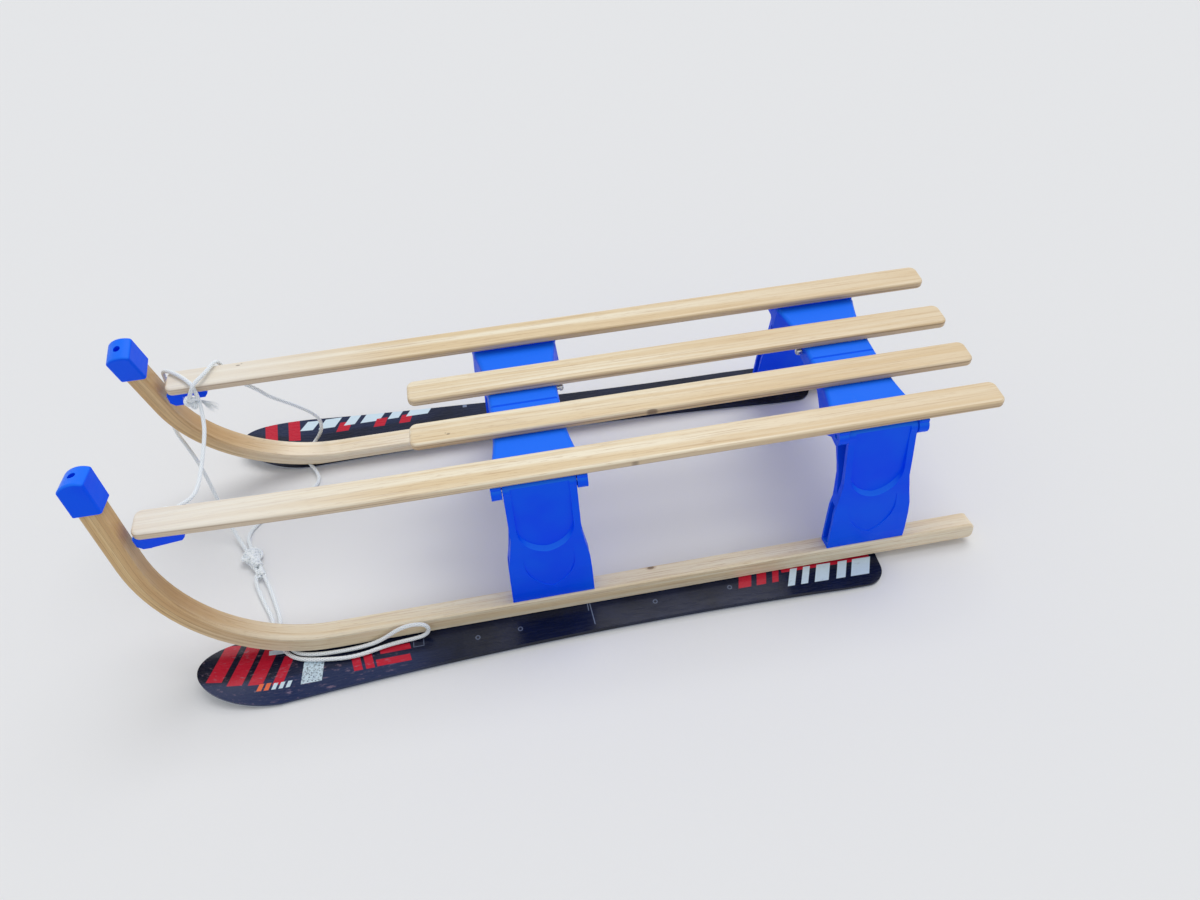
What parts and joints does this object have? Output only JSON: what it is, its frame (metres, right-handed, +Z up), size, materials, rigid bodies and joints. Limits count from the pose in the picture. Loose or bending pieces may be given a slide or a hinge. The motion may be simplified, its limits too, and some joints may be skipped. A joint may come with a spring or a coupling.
{
  "type": "folding wooden sled",
  "caption": "Folding slatted wooden sled with bent runners, blue plastic yokes and short children's skis under the runners.",
  "frame": {"origin": "middle of the sled's length and width, at the level of the skis' soles", "axes": "+X towards the rear, +Y towards the far side of the picture, +Z up"},
  "size_m": [0.9997, 0.4551, 0.2964],
  "materials": {
    "slat_wood": "clear varnished pale hardwood",
    "runner_wood": "clear varnished laminated bent hardwood",
    "blue_plastic": "moulded, soft gloss",
    "ski_top": "glossy printed top sheet, scuffed",
    "pin_steel": "bright zinc plated",
    "rope_white": "braided polyester"
  },
  "bodies": {
    "middle": {"centre_link_front": "blue_plastic", "centre_link_rear": "blue_plastic"},
    "seat_near": {"slat_outer_near": "slat_wood", "slat_inner_near": "slat_wood", "front_bracket_near": "blue_plastic", "crossbeam_front_near": "blue_plastic", "centre_pin_front_near": "pin_steel", "leg_pin_front_near": "pin_steel", "crossbeam_rear_near": "blue_plastic", "centre_pin_rear_near": "pin_steel", "leg_pin_rear_near": "pin_steel", "rope_knot_near": "rope_white"},
    "side_near": {"runner_near": "runner_wood", "end_cap_near": "blue_plastic", "ski_near": "ski_top", "leg_front_near": "blue_plastic", "leg_rear_near": "blue_plastic", "rope_knot_hand": "rope_white", "rope_loop": "rope_white"},
    "seat_far": {"slat_outer_far": "slat_wood", "slat_inner_far": "slat_wood", "front_bracket_far": "blue_plastic", "crossbeam_front_far": "blue_plastic", "centre_pin_front_far": "pin_steel", "leg_pin_front_far": "pin_steel", "crossbeam_rear_far": "blue_plastic", "centre_pin_rear_far": "pin_steel", "leg_pin_rear_far": "pin_steel", "rope_bail": "rope_white", "rope_knot_far": "rope_white"},
    "side_far": {"runner_far": "runner_wood", "end_cap_far": "blue_plastic", "ski_far": "ski_top", "leg_front_far": "blue_plastic", "leg_rear_far": "blue_plastic", "rope_front": "rope_white", "rope_rear": "rope_white"}
  },
  "joints": [
    {"name": "centre_near", "type": "hinge", "parent": "seat_near", "child": "middle", "pos_m": [0, -0.033, 0.195], "axis": [-1, 0, 0], "range_deg": [0, 75]},
    {"name": "centre_far", "type": "hinge", "parent": "middle", "child": "seat_far", "pos_m": [0, 0.019, 0.195], "axis": [-1, 0, 0], "range_deg": [0, 75], "deforming": ["rope_bail"]},
    {"name": "leg_near", "type": "hinge", "parent": "side_near", "child": "seat_near", "pos_m": [0, -0.129, 0.197], "axis": [1, 0, 0], "range_deg": [0, 75], "deforming": ["rope_loop", "rope_knot_hand"]},
    {"name": "leg_far", "type": "hinge", "parent": "seat_far", "child": "side_far", "pos_m": [0, 0.115, 0.197], "axis": [1, 0, 0], "range_deg": [0, 75], "deforming": ["rope_front", "rope_rear"]}
  ],
  "couplings": [
    {"joint": "centre_far", "follows": "centre_near", "ratio": 1},
    {"joint": "leg_near", "follows": "centre_near", "ratio": 1},
    {"joint": "leg_far", "follows": "centre_near", "ratio": 1}
  ]
}
